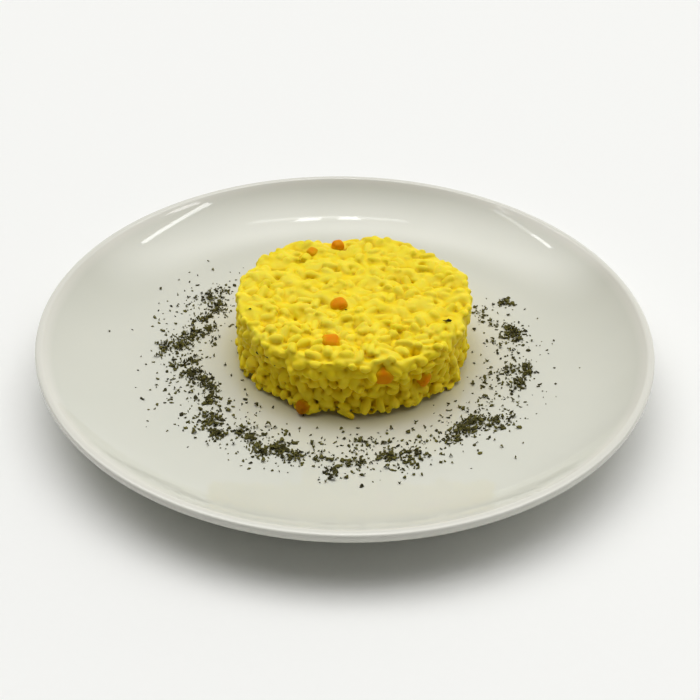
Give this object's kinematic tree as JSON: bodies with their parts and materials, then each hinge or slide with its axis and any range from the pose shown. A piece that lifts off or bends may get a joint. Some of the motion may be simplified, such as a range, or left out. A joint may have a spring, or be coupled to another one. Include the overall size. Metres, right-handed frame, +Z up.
{
  "type": "saffron risotto",
  "caption": "Round moulded saffron risotto with carrot dice, plated on a shallow white rimless dinner plate inside a scattered ring of dried herb flakes.",
  "frame": {"origin": "middle of the plate's foot, on the surface that the plate stands on", "axes": "+Z up out of the plate, +Y towards the back where the herb ring is open, +X to the right"},
  "size_m": [0.2698, 0.2698, 0.0369],
  "materials": {
    "plate_glaze": "smooth glossy off-white glaze",
    "rice": "moist creamy saffron-yellow cooked rice",
    "carrot": "moist cooked orange carrot",
    "herb": "dry dark green crushed leaf"
  },
  "bodies": {
    "root": {"plate": "plate_glaze", "risotto": "rice", "carrot_back": "carrot", "carrot_back_left": "carrot", "carrot_middle": "carrot", "carrot_front_edge": "carrot", "carrot_side_upper": "carrot", "carrot_side_lower": "carrot", "carrot_toe": "carrot"}
  },
  "joints": []
}
